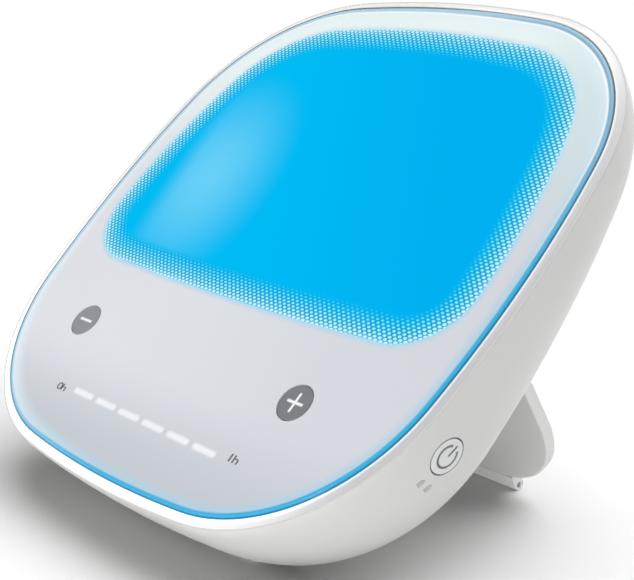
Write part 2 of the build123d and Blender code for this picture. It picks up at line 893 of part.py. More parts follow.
def make_power_board():
    low = -power_switch_size / 2
    high = power_post_places()[0][0] + power_post_radius
    board = box(high - low, power_board_width, board_thickness,
                (low, -power_board_width / 2, power_board_top() - board_thickness))
    for x, y in power_post_places():
        board -= rod(bezel_screw_radius + 2 * seat_gap, power_board_top() - 2 * board_thickness,
                     power_board_top() + past, x, y)
    return POWER * board


def make_power_board_screws():
    screws = []
    for x, y in power_post_places():
        top = power_board_top()
        screw = rod(bezel_screw_radius, top - board_thickness, top + power_screw_bite, x, y)
        head_back = top - board_thickness - bezel_screw_head_height
        screw += rod(power_screw_head_radius, head_back, top - board_thickness, x, y)
        screws.append(POWER * screw)
    return screws


def status_bars(extra, low):
    """Two small bars with a narrow tip, through the wall below the power button."""
    height = 2 * wall - low
    half = status_length / 2
    bar = box(status_width + extra, status_length + extra, height,
              (-(status_width + extra) / 2, -half - extra / 2, low))
    bar += box(status_tip_width + extra, status_tip_length + extra / 2, height,
               (-(status_tip_width + extra) / 2, half, low))
    return [
        POWER * Location((status_start + k * status_spacing, k * status_rise - status_drop, 0)) * bar
        for k in range(2)
    ]


def make_status_lights():
    return [biggest(bar & outer_body) for bar in status_bars(0, -status_depth)]


def make_socket():
    """Power inlet: a block behind the wall with a round mouth and a centre pin."""
    half = socket_body / 2
    block = box(socket_body, socket_body, socket_length, (-half, -half, -wall - socket_gap - socket_length))
    block += rod(socket_bore + socket_mouth_wall, -wall - past, -socket_mouth_inset)
    block -= rod(socket_bore, -socket_bore_length, past)
    block += rod(socket_pin, -socket_bore_length - past / 2, -socket_pin_inset)
    return SOCKET * block


# ================================================================ power supply
def battery_floor():
    return recess_depth + wall + battery_tape


def make_battery():
    """Flat pack that lies on the wall of the stand's recess."""
    pack = box(battery_length, battery_width, battery_thickness,
               (-battery_length / 2, battery_middle - battery_width / 2, battery_floor()))
    return TO_BACK * fillet(pack.edges().filter_by(Axis.X), battery_radius)


def make_battery_tape():
    inset = battery_radius
    corner = (
        -battery_length / 2 + inset,
        battery_middle - battery_width / 2 + inset,
        battery_floor() - battery_tape,
    )
    return TO_BACK * box(battery_length - 2 * inset, battery_width - 2 * inset, battery_tape, corner)


# ================================================================ housing
def make_housing():
    shell = outer_body - cavity
    shell -= slab(grown(plate_outline, rim_wall), -rim_depth, past)
    shell += recess_pan() & outer_body
    for x, y in back_screw_places:
        shell += TO_BACK * rod(boss_radius + screw_boss_wall, wall / 2, wall + screw_floor - seat_gap, x, y)
    shell -= recess_cut()
    for x, y in back_screw_places:
        shell -= TO_BACK * rod(screw_head_radius + screw_spot, -past, screw_recess_depth, x, y)
        shell -= TO_BACK * rod(screw_radius + 2 * seat_gap, -past, wall + screw_floor + past, x, y)
    reach = hinge_half_width + recess_gap + axle_seat
    shell -= HINGE * along_x(axle_radius + seat_gap / 5, -reach, reach)
    shell -= POWER * rod(power_radius + power_flange + running_gap, -2 * wall, -wall)
    spot = socket_body + 2 * board_gap
    shell -= SOCKET * box(spot, spot, 2 * wall, (-spot / 2, -spot / 2, -3 * wall - socket_gap))
    for x, y in power_post_places():
        shell += POWER * rod(power_post_radius, power_board_top(), running_gap - wall, x, y)
        shell -= POWER * rod(bezel_screw_radius + seat_gap, power_board_top() - past,
                             power_board_top() + power_screw_bite + tip_gap, x, y)
    shell -= POWER * rod(power_radius + running_gap, -3 * wall, 2 * wall)
    shell -= SOCKET * rod(socket_bore + socket_mouth_wall + seat_gap, -3 * wall, 2 * wall)
    for bar in status_bars(2 * seat_gap, -status_depth - past):
        shell -= bar
    return biggest(shell)


def make_housing_screws():
    screws = []
    for x, y in back_screw_places:
        screw = rod(screw_radius - seat_gap, screw_recess_depth, tray_floor(y) - 3 * tip_gap, x, y)
        screw += rod(screw_head_radius, screw_recess_depth - screw_head_height, screw_recess_depth, x, y)
        screws.append(TO_BACK * screw)
    return screws


# ================================================================ placing
LEAN_BACK = Location((0, 0, 0), (face_pitch, 0, 0))


def chin_point():
    """Lowest point of the housing's bottom curve: across the desk and up, leant back."""
    pitch = math.radians(face_pitch)
    points = []
    steps = 40
    for k in range(steps + 1):
        share = k / steps
        inset = bottom_inset * draw_in_share(share, bottom_roundness)
        y = -(plate_outline.bottom + housing_growth - inset)
        z = -parting_depth - share * (body_depth - parting_depth - y * math.tan(math.radians(body_wedge)))
        points.append((z * math.cos(pitch) + y * math.sin(pitch), y * math.cos(pitch) - z * math.sin(pitch)))
    height, across = min(points)
    return across, height


chin_across, chin_height = chin_point()
desk_height = (LEAN_BACK * outer_body).bounding_box().min.Z - foot_pad_stand_off


def make_foot_pads():
    """Two rubber feet under the chin, flat below and fitted to the housing above."""
    pads = []
    for side in (-1, 1):
        column = Location((side * foot_pad_span, chin_across, desk_height)) * extrude(
            SlotOverall(foot_pad_length, foot_pad_width), foot_pad_stand_off + foot_pad_reach)
        pads.append(min((column - LEAN_BACK * outer_body).solids(), key=lambda s: s.center().Z))
    return [LEAN_BACK.inverse() * pad for pad in pads]


def stand_lean():
    """The open stand's angle from upright: its foot bar meets the desk."""
    drop = (LEAN_BACK * HINGE).position.Z - desk_height - foot_bar_radius
    return math.degrees(math.acos(drop / (flap_length + foot_bar_drop)))


open_angle = 90 - face_pitch - body_wedge + stand_lean()
STAND = HINGE * Location((0, 0, 0), (open_angle, 0, 0))


def build():
    """Every piece in the face frame, by name."""
    return {
        "front_plate": make_front_plate(),
        "plate_tape": make_tape(),
        "printed_film": make_film(),
        "bezel": make_bezel(),
        "diffuser": make_diffuser(),
        "light_guide": make_light_guide(),
        "reflector": make_reflector(),
        "light_tray": make_light_tray(),
        "led_strip": make_led_strip(),
        "strip_leds": make_strip_leds(),
        "led_bar": make_led_bar(),
        "inner_frame": make_frame(),
        "light_pipes": make_light_pipes(),
        "bezel_screws": make_bezel_screws(),
        "tray_screws": make_tray_screws(),
        "minus_button": make_face_button(-1),
        "plus_button": make_face_button(1),
        "control_board": make_control_board(),
        "face_switches": make_face_switches(),
        "indicator_leds": make_indicator_leds(),
        "driver_parts": make_driver_parts(),
        "board_screws": make_board_screws(),
        "power_button": make_power_button(),
        "power_switch": make_power_switch(),
        "power_board": make_power_board(),
        "power_board_screws": make_power_board_screws(),
        "status_lights": make_status_lights(),
        "power_socket": make_socket(),
        "battery_pack": make_battery(),
        "battery_tape": make_battery_tape(),
        "rear_housing": make_housing(),
        "housing_screws": make_housing_screws(),
        "foot_pads": make_foot_pads(),
        "stand_flap": STAND * make_flap(),
        "foot_bar": STAND * make_foot_bar(),
        "foot_rod": STAND * make_foot_rod(),
        "hinge_axle": STAND * make_axle(),
        "hinge_washers": [STAND * washer for washer in make_hinge_washers()],
    }


def placed(pieces):
    """Leans the pieces back and puts the origin under the middle, on the desk."""
    leant = {}
    for name, piece in pieces.items():
        group = piece if isinstance(piece, list) else [piece]
        leant[name] = Compound([LEAN_BACK * solid for item in group for solid in item.solids()])
    bounds = Compound(list(leant.values())).bounding_box()
    shift = Location((-(bounds.min.X + bounds.max.X) / 2, -(bounds.min.Y + bounds.max.Y) / 2, -desk_height))
    return shift, {name: shift * piece for name, piece in leant.items()}


def describe(name, location):
    place = location.position
    way = Plane(location).z_dir
    across = Plane(location).x_dir
    print(f"{name}: at ({place.X:.3f}, {place.Y:.3f}, {place.Z:.3f})"
          f" z ({way.X:.5f}, {way.Y:.5f}, {way.Z:.5f}) x ({across.X:.5f}, {across.Y:.5f}, {across.Z:.5f})")


if __name__ == "__main__":
    shift, nodes = placed(build())
    os.makedirs("parts", exist_ok=True)
    for name, piece in nodes.items():
        export_step(piece, os.path.join("parts", name + ".step"))
    whole = shift * LEAN_BACK
    describe("face frame", whole)
    describe("stand hinge", whole * STAND)
    for name, x in zip(("minus button", "plus button"), button_places()):
        describe(name, whole * Location((x, button_height, 0)))
    describe("power button", whole * POWER)
    describe("socket", whole * SOCKET)
    print(f"open angle {open_angle:.3f}, lean {stand_lean():.3f}")
    box_all = Compound(list(nodes.values())).bounding_box()
    print("size", box_all.size, "low", box_all.min)
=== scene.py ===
import json
import math
import bmesh
import bpy
from mathutils import Matrix, Vector
from mathutils.geometry import intersect_sphere_sphere_2d


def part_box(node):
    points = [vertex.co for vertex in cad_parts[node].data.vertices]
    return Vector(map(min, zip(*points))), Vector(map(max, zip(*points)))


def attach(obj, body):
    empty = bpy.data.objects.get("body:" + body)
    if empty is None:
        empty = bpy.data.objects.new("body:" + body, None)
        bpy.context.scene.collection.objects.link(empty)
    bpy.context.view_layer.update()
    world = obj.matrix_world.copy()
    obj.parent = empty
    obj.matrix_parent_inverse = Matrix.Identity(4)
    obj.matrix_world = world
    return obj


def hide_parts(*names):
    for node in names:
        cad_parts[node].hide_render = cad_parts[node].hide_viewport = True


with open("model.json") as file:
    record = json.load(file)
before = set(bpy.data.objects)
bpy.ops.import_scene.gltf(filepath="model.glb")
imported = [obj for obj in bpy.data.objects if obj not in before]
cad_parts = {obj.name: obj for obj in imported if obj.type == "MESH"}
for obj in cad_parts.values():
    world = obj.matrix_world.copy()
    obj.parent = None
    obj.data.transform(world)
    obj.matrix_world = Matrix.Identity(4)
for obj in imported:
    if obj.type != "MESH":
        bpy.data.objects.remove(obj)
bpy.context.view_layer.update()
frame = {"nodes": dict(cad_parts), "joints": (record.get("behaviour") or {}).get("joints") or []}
nodes = frame["nodes"]
print("frame loaded:", len(nodes), "nodes")

mm = 0.001

# The face's own frame: u to the right, v up the face, n out of it, in millimetres
# from the middle of the clear plate's outer surface.
face = {
    "pitch": 41.7,
    "plateBottom": 67.8,        # the plate's lower edge below the middle
    "flatTop": 67.8,            # where the bevel meets the flat surface, above the middle
    "bevel": 0.5,
}


def findFacePlace():
    low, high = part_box("front_plate")
    tilt = math.radians(face["pitch"])
    across = face["plateBottom"] * math.cos(tilt) - face["bevel"] * math.sin(tilt)
    drop = face["flatTop"] * math.sin(tilt)
    return Vector(((low.x + high.x) / 2, low.y + across * mm, high.z - drop * mm))


facePlace = findFacePlace()
faceToWorld = (
    Matrix.Translation(facePlace)
    @ Matrix.Rotation(math.radians(face["pitch"]), 4, "X")
    @ Matrix.Scale(mm, 4)
)

# The plate's and the window's outlines, each of eight arcs that run into each other
plateOutline = {
    "halfWidth": 68.5, "top": 68.3, "bottom": 67.8,
    "sideRadius": 235.0, "topRadius": 250.0, "bottomRadius": 300.0,
    "topCorner": 42.0, "bottomCorner": 43.0, "sideHeight": -0.2,
}
windowOutline = {
    "halfWidth": 61.2, "top": 60.1, "bottom": 20.8,
    "sideRadius": 146.0, "topRadius": 235.0, "bottomRadius": 1040.0,
    "topCorner": 29.5, "bottomCorner": 15.5, "sideHeight": -3.0,
}


def cornerCentre(side, sideRadius, end, endRadius, corner, way):
    found = intersect_sphere_sphere_2d(side, sideRadius - corner, end, endRadius - corner)
    return max(found, key=lambda point: way * point.y + point.x)


def rightArcs(outline):
    # centre and radius of the right half's arcs, from the top round to the bottom
    sideRadius, topRadius = outline["sideRadius"], outline["topRadius"]
    bottomRadius = outline["bottomRadius"]
    topCorner, bottomCorner = outline["topCorner"], outline["bottomCorner"]
    side = Vector((outline["halfWidth"] - sideRadius, outline["sideHeight"]))
    top = Vector((0, outline["top"] - topRadius))
    bottom = Vector((0, bottomRadius - outline["bottom"]))
    upper = cornerCentre(side, sideRadius, top, topRadius, topCorner, 1)
    lower = cornerCentre(side, sideRadius, bottom, bottomRadius, bottomCorner, -1)
    return [
        (top, topRadius), (upper, topCorner), (side, sideRadius),
        (lower, bottomCorner), (bottom, bottomRadius),
    ]


def arcMeetings(arcs):
    # where each arc ends: a corner's middle, and the way out of the big arc through it
    top, upper, side, lower, bottom = [centre for centre, radius in arcs]
    return [
        (upper, (upper - top).normalized()), (upper, (upper - side).normalized()),
        (lower, (lower - side).normalized()), (lower, (lower - bottom).normalized()),
    ]


def screen(red, green, blue):
    # a colour as a screen shows it, as the light that Blender works in
    def light(value):
        share = value / 255
        return share / 12.92 if share <= 0.04045 else ((share + 0.055) / 1.055) ** 2.4
    return light(red), light(green), light(blue), 1.0


black = screen(0, 0, 0)
white = screen(255, 255, 255)


def newMaterial(name):
    material = bpy.data.materials.new(name)
    material.use_nodes = True
    tree = material.node_tree
    tree.nodes.clear()
    output = tree.nodes.new("ShaderNodeOutputMaterial")
    shader = tree.nodes.new("ShaderNodeBsdfPrincipled")
    tree.links.new(shader.outputs[0], output.inputs["Surface"])
    return material, tree, shader


def feed(tree, socket, value):
    if isinstance(value, bpy.types.NodeSocket):
        tree.links.new(value, socket)
    else:
        socket.default_value = value


def calc(tree, operation, *values):
    node = tree.nodes.new("ShaderNodeMath")
    node.operation = operation
    for socket, value in zip(node.inputs, values):
        feed(tree, socket, value)
    return node.outputs[0]


def multiply(tree, *values):
    product = values[0]
    for value in values[1:]:
        product = calc(tree, "MULTIPLY", product, value)
    return product


def leaning(tree, main, other, lean):
    # one coordinate and a share of the other, for a change that runs aslant
    return calc(tree, "ADD", main, multiply(tree, other, lean))


def vectorCalc(tree, operation, *values):
    node = tree.nodes.new("ShaderNodeVectorMath")
    node.operation = operation
    for socket, value in zip(node.inputs, values):
        feed(tree, socket, value)
    isNumber = operation in ("DISTANCE", "LENGTH", "DOT_PRODUCT")
    return node.outputs["Value" if isNumber else "Vector"]


def objectPlace(tree, matrix=None):
    # object coordinates, or their place in another frame with its own unit
    place = tree.nodes.new("ShaderNodeTexCoord").outputs["Object"]
    if matrix is None:
        return place
    origin, turn, size = matrix.decompose()
    mapping = tree.nodes.new("ShaderNodeMapping")
    mapping.vector_type = "TEXTURE"
    mapping.inputs["Location"].default_value = origin
    mapping.inputs["Rotation"].default_value = turn.to_euler("XYZ")
    mapping.inputs["Scale"].default_value = size
    tree.links.new(place, mapping.inputs["Vector"])
    return mapping.outputs[0]


def split(tree, vector):
    node = tree.nodes.new("ShaderNodeSeparateXYZ")
    tree.links.new(vector, node.inputs[0])
    return list(node.outputs)


def join(tree, x, y, z=0.0):
    node = tree.nodes.new("ShaderNodeCombineXYZ")
    for socket, value in zip(node.inputs, (x, y, z)):
        feed(tree, socket, value)
    return node.outputs[0]


def slope(tree, value, start, end, smooth=True):
    # 0 before start, 1 after end
    node = tree.nodes.new("ShaderNodeMapRange")
    node.interpolation_type = "SMOOTHSTEP" if smooth else "LINEAR"
    for socket, number in zip(node.inputs, (value, start, end, 0.0, 1.0)):
        feed(tree, socket, number)
    return node.outputs[0]


def blendValue(tree, share, first, second):
    node = tree.nodes.new("ShaderNodeMix")
    feed(tree, node.inputs["Factor"], share)
    feed(tree, node.inputs["A"], first)
    feed(tree, node.inputs["B"], second)
    return node.outputs["Result"]


def blendColour(tree, share, first, second, way="MIX"):
    node = tree.nodes.new("ShaderNodeMix")
    node.data_type = "RGBA"
    node.blend_type = way
    feed(tree, node.inputs[0], share)
    feed(tree, node.inputs[6], first)
    feed(tree, node.inputs[7], second)
    return node.outputs[2]


def colourSteps(tree, value, steps):
    # steps are (where, colour) pairs, where in the value's own unit
    low, high = steps[0][0], steps[-1][0]
    share = slope(tree, value, low, high, smooth=False)
    node = tree.nodes.new("ShaderNodeValToRGB")
    points = node.color_ramp.elements
    while len(points) < len(steps):
        points.new(0.5)
    for point, (where, colour) in zip(points, steps):
        point.position = (where - low) / (high - low)
        point.color = colour
    tree.links.new(share, node.inputs[0])
    return node.outputs[0]


def noise(tree, scale, detail=2.0):
    node = tree.nodes.new("ShaderNodeTexNoise")
    tree.links.new(objectPlace(tree), node.inputs["Vector"])
    node.inputs["Scale"].default_value = scale
    node.inputs["Detail"].default_value = detail
    return node.outputs["Fac"]


mottle = {"scale": 60, "detail": 3.0, "span": (0.3, 0.7)}
grainDepth = 0.02                # millimetres
roundingSamples = 6


def grain(tree, shader, scale, strength, depth=grainDepth, rounding=0.0):
    # fine moulded grain, and soft edges where rounding is given, in millimetres
    bump = tree.nodes.new("ShaderNodeBump")
    bump.inputs["Strength"].default_value = strength
    bump.inputs["Distance"].default_value = depth * mm
    tree.links.new(noise(tree, scale), bump.inputs["Height"])
    if rounding:
        edge = tree.nodes.new("ShaderNodeBevel")
        edge.samples = roundingSamples
        edge.inputs["Radius"].default_value = rounding * mm
        tree.links.new(edge.outputs[0], bump.inputs["Normal"])
    tree.links.new(bump.outputs[0], shader.inputs["Normal"])


def mottled(tree, colour, amount, scale=mottle["scale"]):
    # a colour that varies a little, slowly over the piece
    spread = slope(tree, noise(tree, scale, mottle["detail"]), *mottle["span"])
    level = blendValue(tree, spread, 1 - amount, 1.0)
    return blendColour(tree, 1.0, colour, join(tree, level, level, level), "MULTIPLY")


def outlineDistance(tree, place, outline):
    # millimetres outside an outline, less than nothing inside it
    u, v = split(tree, place)[:2]
    point = join(tree, calc(tree, "ABSOLUTE", u), v)
    arcs = rightArcs(outline)
    distances = [
        calc(tree, "SUBTRACT", vectorCalc(tree, "DISTANCE", point, (*centre, 0.0)), radius)
        for centre, radius in arcs
    ]
    top, upper, side, lower, bottom = distances
    meetings = arcMeetings(arcs)

    def choose(meeting, before, after):
        # after, on the side of a meeting that is clockwise round the outline
        corner, way = meeting
        across = Vector((-way.y, way.x, 0.0))
        along = vectorCalc(tree, "DOT_PRODUCT", point, across)
        beyond = calc(tree, "LESS_THAN", along, across.xy.dot(corner))
        return blendValue(tree, beyond, before, after)

    above = choose(meetings[0], top, choose(meetings[1], upper, side))
    below = choose(meetings[3], choose(meetings[2], side, lower), bottom)
    return blendValue(tree, calc(tree, "LESS_THAN", v, outline["sideHeight"]), above, below)


def barDistance(tree, u, v, length, width):
    # millimetres outside a bar with round ends that lies along u
    beyond = calc(tree, "SUBTRACT", calc(tree, "ABSOLUTE", u), (length - width) / 2)
    away = vectorCalc(tree, "LENGTH", join(tree, calc(tree, "MAXIMUM", beyond, 0.0), v))
    return calc(tree, "SUBTRACT", away, width / 2)


# Here and below, a span is where a change starts and where it is complete, in millimetres,
# and a lean is the share of the other coordinate that is added where a change runs aslant.
windowGlow = {
    "colour": screen(0, 186, 243),
    "rightColour": screen(0, 175, 239), "rightLean": 0.6, "rightSpan": (-20.0, 60.0),
    "paintedReflection": screen(104, 207, 246),          # painted reflection: a pale soft highlight on the left
    "paintedReflectionMiddle": (-36.0, 8.0),
    "paintedReflectionReach": (27.0, 36.0),
    "paintedReflectionLean": 0.12,
    "paintedReflectionLeftSpan": (-52.0, -43.0),
    "dotPitch": 1.45,
    "rowPitch": 0.74,
    "dotWidth": 0.66,                        # the dots are wider than they are high
    "dotBand": 7.6,                          # width of the dotted border
    "dotRadius": (0.37, 0.2),                # at the window's edge, and where the dots end
    "dotSpan": (0.08, -0.12),
    # the outer share of the border where the dots, and the colour between them, are in full
    "dotsFull": 0.6, "betweenFull": 0.7,
    # colours by the distance from the window's edge
    "dotColours": [
        (-5.0, screen(110, 228, 255)), (-2.0, screen(165, 242, 255)), (0.0, screen(205, 246, 255)),
    ],
    "betweenColours": [
        (-4.5, screen(2, 170, 226)), (-1.2, screen(20, 156, 202)), (0.0, screen(86, 188, 222)),
    ],
}


def windowDots(tree, u, v, distance):
    # share of a dot at a point; every other row is shifted by half a pitch
    g = windowGlow
    row = calc(tree, "DIVIDE", v, g["rowPitch"])
    shift = multiply(tree, calc(tree, "FLOORED_MODULO", calc(tree, "FLOOR", row), 2.0), 0.5)
    column = calc(tree, "ADD", calc(tree, "DIVIDE", u, g["dotPitch"]), shift)
    across = calc(tree, "SUBTRACT", calc(tree, "FRACT", column), 0.5)
    up = calc(tree, "SUBTRACT", calc(tree, "FRACT", row), 0.5)
    fromDot = vectorCalc(tree, "LENGTH", join(
        tree, multiply(tree, across, g["dotPitch"] * g["dotWidth"]),
        multiply(tree, up, g["rowPitch"])))
    inward = slope(tree, distance, 0.0, -g["dotBand"], smooth=False)
    radius = blendValue(tree, inward, *g["dotRadius"])
    return slope(tree, calc(tree, "SUBTRACT", fromDot, radius), *g["dotSpan"])


def windowLight(tree, place, distance):
    # the lit window: blue, a painted reflection as a pale soft highlight on the left, and a border
    # of staggered dots
    g = windowGlow
    u, v = split(tree, place)[:2]
    right = slope(tree, leaning(tree, u, v, g["rightLean"]), *g["rightSpan"])
    colour = blendColour(tree, right, g["colour"], g["rightColour"])
    # painted reflection: a pale soft highlight over the left of the window
    across = leaning(tree, u, v, g["paintedReflectionLean"])
    shares = [
        calc(tree, "DIVIDE", calc(tree, "SUBTRACT", value, middle), reach)
        for value, middle, reach in zip((across, v), g["paintedReflectionMiddle"], g["paintedReflectionReach"])
    ]
    paintedReflection = slope(tree, vectorCalc(tree, "LENGTH", join(tree, *shares)), 1.0, 0.0)
    leftEdge = slope(tree, across, *g["paintedReflectionLeftSpan"])
    colour = blendColour(tree, multiply(tree, paintedReflection, leftEdge), colour, g["paintedReflection"])

    band = -g["dotBand"]
    innermost = (band, g["colour"])
    between = colourSteps(tree, distance, [innermost] + g["betweenColours"])
    inBand = slope(tree, distance, band, band * g["betweenFull"])
    colour = blendColour(tree, inBand, colour, between)
    dotColour = colourSteps(tree, distance, [innermost] + g["dotColours"])
    faded = slope(tree, distance, band, band * g["dotsFull"])
    dot = windowDots(tree, u, v, distance)
    return blendColour(tree, multiply(tree, dot, faded), colour, dotColour)


panelPrintAndPaintedLight = {
    "colour": screen(219, 221, 227),
    # painted shade: greyer to the right and below
    "right": screen(208, 211, 217), "rightSpan": (-30.0, 60.0),
    "low": screen(190, 196, 202), "paintedShadeLowSpan": (-40.0, -66.0),
    # painted light: whiter above the window, at the left and at the right
    "top": (screen(232, 243, 243), screen(206, 224, 227)),
    "paintedLightTopSpan": (0.0, 50.0), "paintedLightTopRightSpan": (25.0, 62.0),
    "paintedWindowGlow": (screen(168, 212, 238), screen(200, 226, 236)),      # painted light: a glow of the window's light on the panel, beside the window and above it
    "paintedWindowGlowSpan": (1.7, -0.3),
    "windowBase": screen(0, 16, 24),         # the window's own colour, under its light
    "windowSpan": (0.25, -0.15),
    "roughness": 0.16, "specular": 0.1, "grain": (900, 0.03),
    "cutEdgeSpan": (-0.45, -0.9), "cutEdgeLight": 0.55,          # below the plate's surface
}
rimBand = {
    # painted light: where the rim's lit edge is painted deep blue rather than pale, as it looks
    # from one side, along u less v
    "paintedEdgeLightLowerRightSpan": (-6.0, 74.0),
    "upperRightLean": 0.3, "upperRightSpan": (10.0, 66.0),
    # painted light: a pale glow painted inside the rim, at the upper left and at the lower right
    "glow": (screen(226, 240, 246), screen(166, 204, 226)),
    "paintedGlowReach": (5.5, 4.0), "paintedGlowEnd": -0.6, "paintedGlowAmount": 0.85,
    # the band, from the plate's edge inwards; its pale and deep blue sides are painted light
    "band": (screen(176, 208, 228), screen(62, 166, 208)),
    "bandRight": screen(158, 198, 220),      # at the upper right
    "bandWidth": (1.9, 1.05), "bandWidthSpan": (-60.0, 30.0), "bandSpan": (-0.3, 0.25),
    "bandLight": 0.06,
    # a white line just inside the band, at the top and at the right
    "whiteLine": screen(250, 253, 254), "whiteLinePlace": -0.25, "whiteLineSpan": (0.4, 0.1),
    "whiteLineTopSpan": (20.0, 55.0), "whiteLineAmount": 0.9,
    # the band's darker inner boundary, at the upper right
    "boundary": screen(120, 158, 186), "boundaryPlace": 0.3, "boundarySpan": (0.4, 0.05),
    "boundaryAmount": 0.8,
    # the line along the plate's edge: grey above, blue below
    "edgeLine": (screen(96, 112, 122), screen(28, 122, 162)), "edgeBlueSpan": (-25.0, -60.0),
    # it reaches further in on the side that lies away from the camera, where the bevel hides it
    "edgeReach": (0.28, 0.92), "awaySide": (-0.926, 0.377), "edgeReachSpan": (-10.0, 45.0),
    "edgeSpan": (-0.14, 0.14),
}
timeBars = {
    "length": 7.4, "width": 1.35, "pitch": 8.97, "height": -53.7, "shift": 0.8, "count": 6,
    "colour": screen(232, 233, 236), "span": (0.5, -0.45), "light": 0.04,
}


def lightBars(tree, u, v):
    # share of the six lit bars at a point
    b = timeBars
    column = calc(tree, "DIVIDE", calc(tree, "SUBTRACT", u, b["shift"]), b["pitch"])
    column = calc(tree, "ADD", column, b["count"] / 2)
    nearest = calc(tree, "MAXIMUM", calc(tree, "FLOOR", column), 0.0)
    nearest = calc(tree, "MINIMUM", nearest, b["count"] - 1.0)
    fromMiddle = calc(tree, "SUBTRACT", calc(tree, "SUBTRACT", column, nearest), 0.5)
    across = multiply(tree, fromMiddle, b["pitch"])
    up = calc(tree, "SUBTRACT", v, b["height"])
    return slope(tree, barDistance(tree, across, up, b["length"], b["width"]), *b["span"])


def panelColour(tree, u, v, inWindow):
    # the printed panel with painted shade, greyer to the right and below, painted light whiter
    # above the window, and a painted glow of the window's light round it
    p = panelPrintAndPaintedLight
    # painted shade: greyer to the right and below
    colour = blendColour(tree, slope(tree, u, *p["rightSpan"]), p["colour"], p["right"])
    colour = blendColour(tree, slope(tree, v, *p["paintedShadeLowSpan"]), colour, p["low"])
    # painted light: whiter above the window
    top = slope(tree, v, *p["paintedLightTopSpan"])
    paintedLightTopColour = blendColour(tree, slope(tree, u, *p["paintedLightTopRightSpan"]), *p["top"])
    colour = blendColour(tree, top, colour, paintedLightTopColour)
    # painted light: a glow of the window's light round the window
    paintedWindowGlow = slope(tree, inWindow, *p["paintedWindowGlowSpan"])
    return blendColour(tree, paintedWindowGlow, colour, blendColour(tree, top, *p["paintedWindowGlow"]))


def nearLine(tree, fromBand, place, span):
    # share of a thin line that follows the band's inner boundary, at a place across the band
    return slope(tree, calc(tree, "ABSOLUTE", calc(tree, "SUBTRACT", fromBand, place)), *span)


def rimColour(tree, colour, place, inPlate, paintedEdgeLightLowerRight):
    # lays the rim, with its painted light, over the panel's colour; also gives the band's share at
    # a point
    r = rimBand
    u, v = split(tree, place)[:2]
    upperRight = slope(tree, leaning(tree, u, v, r["upperRightLean"]), *r["upperRightSpan"])
    paintedPaleSide = calc(tree, "SUBTRACT", 1.0, paintedEdgeLightLowerRight)

    # painted light: a glow of the lit edge painted into the colour inside the rim
    paintedGlowStart = multiply(tree, blendValue(tree, paintedEdgeLightLowerRight, *r["paintedGlowReach"]), -1.0)
    glow = multiply(tree, slope(tree, inPlate, paintedGlowStart, r["paintedGlowEnd"]), r["paintedGlowAmount"])
    colour = blendColour(tree, glow, colour, blendColour(tree, paintedEdgeLightLowerRight, *r["glow"]))

    wide = slope(tree, calc(tree, "SUBTRACT", u, v), *r["bandWidthSpan"])
    fromBand = calc(tree, "ADD", inPlate, blendValue(tree, wide, *r["bandWidth"]))
    line = nearLine(tree, fromBand, r["whiteLinePlace"], r["whiteLineSpan"])
    rightOrTop = calc(tree, "MAXIMUM", slope(tree, v, *r["whiteLineTopSpan"]), upperRight)
    line = multiply(tree, line, paintedPaleSide, rightOrTop, r["whiteLineAmount"])
    colour = blendColour(tree, line, colour, r["whiteLine"])

    # painted light: the band is pale at the upper left and deep blue at the lower right, as the lit
    # edge looks from one side
    bandColour = blendColour(tree, upperRight, r["band"][0], r["bandRight"])
    bandColour = blendColour(tree, paintedEdgeLightLowerRight, bandColour, r["band"][1])
    band = slope(tree, fromBand, *r["bandSpan"])
    colour = blendColour(tree, band, colour, bandColour)
    boundary = nearLine(tree, fromBand, r["boundaryPlace"], r["boundarySpan"])
    boundary = multiply(tree, boundary, upperRight, paintedPaleSide, r["boundaryAmount"])
    colour = blendColour(tree, boundary, colour, r["boundary"])

    away = vectorCalc(tree, "DOT_PRODUCT", place, (*r["awaySide"], 0.0))
    reach = blendValue(tree, slope(tree, away, *r["edgeReachSpan"]), *r["edgeReach"])
    edge = slope(tree, calc(tree, "ADD", inPlate, reach), *r["edgeSpan"])
    blue = calc(tree, "MAXIMUM", slope(tree, v, *r["edgeBlueSpan"]), paintedEdgeLightLowerRight)
    colour = blendColour(tree, edge, colour, blendColour(tree, blue, *r["edgeLine"]))
    return colour, band


def makeFaceMaterial():
    p, r, b = panelPrintAndPaintedLight, rimBand, timeBars
    material, tree, shader = newMaterial("litFacePlate")
    place = objectPlace(tree, faceToWorld)
    u, v, n = split(tree, place)
    inPlate = outlineDistance(tree, place, plateOutline)
    inWindow = outlineDistance(tree, place, windowOutline)
    # painted light: the side where the rim's lit edge is painted deep blue
    paintedEdgeLightLowerRight = slope(tree, calc(tree, "SUBTRACT", u, v), *r["paintedEdgeLightLowerRightSpan"])
    colour = panelColour(tree, u, v, inWindow)
    colour, band = rimColour(tree, colour, place, inPlate, paintedEdgeLightLowerRight)
    bars = lightBars(tree, u, v)
    colour = blendColour(tree, bars, colour, b["colour"])

    lit = slope(tree, inWindow, *p["windowSpan"])
    base = blendColour(tree, lit, colour, p["windowBase"])
    tree.links.new(base, shader.inputs["Base Color"])
    # the bars, the rim and the plate's cut edges glow a little with the light inside
    inBand = multiply(tree, band, paintedEdgeLightLowerRight, r["bandLight"])
    edges = multiply(tree, slope(tree, n, *p["cutEdgeSpan"]), p["cutEdgeLight"])
    glowing = calc(tree, "MAXIMUM", multiply(tree, bars, b["light"]), inBand)
    glowing = calc(tree, "MAXIMUM", glowing, edges)
    own = blendColour(tree, glowing, black, colour)
    light = blendColour(tree, lit, own, windowLight(tree, place, inWindow))
    tree.links.new(light, shader.inputs["Emission Color"])
    shader.inputs["Emission Strength"].default_value = 1.0
    shader.inputs["Roughness"].default_value = p["roughness"]
    feed(tree, shader.inputs["Specular IOR Level"], blendValue(tree, lit, p["specular"], 0.0))
    grain(tree, shader, *p["grain"])
    return material


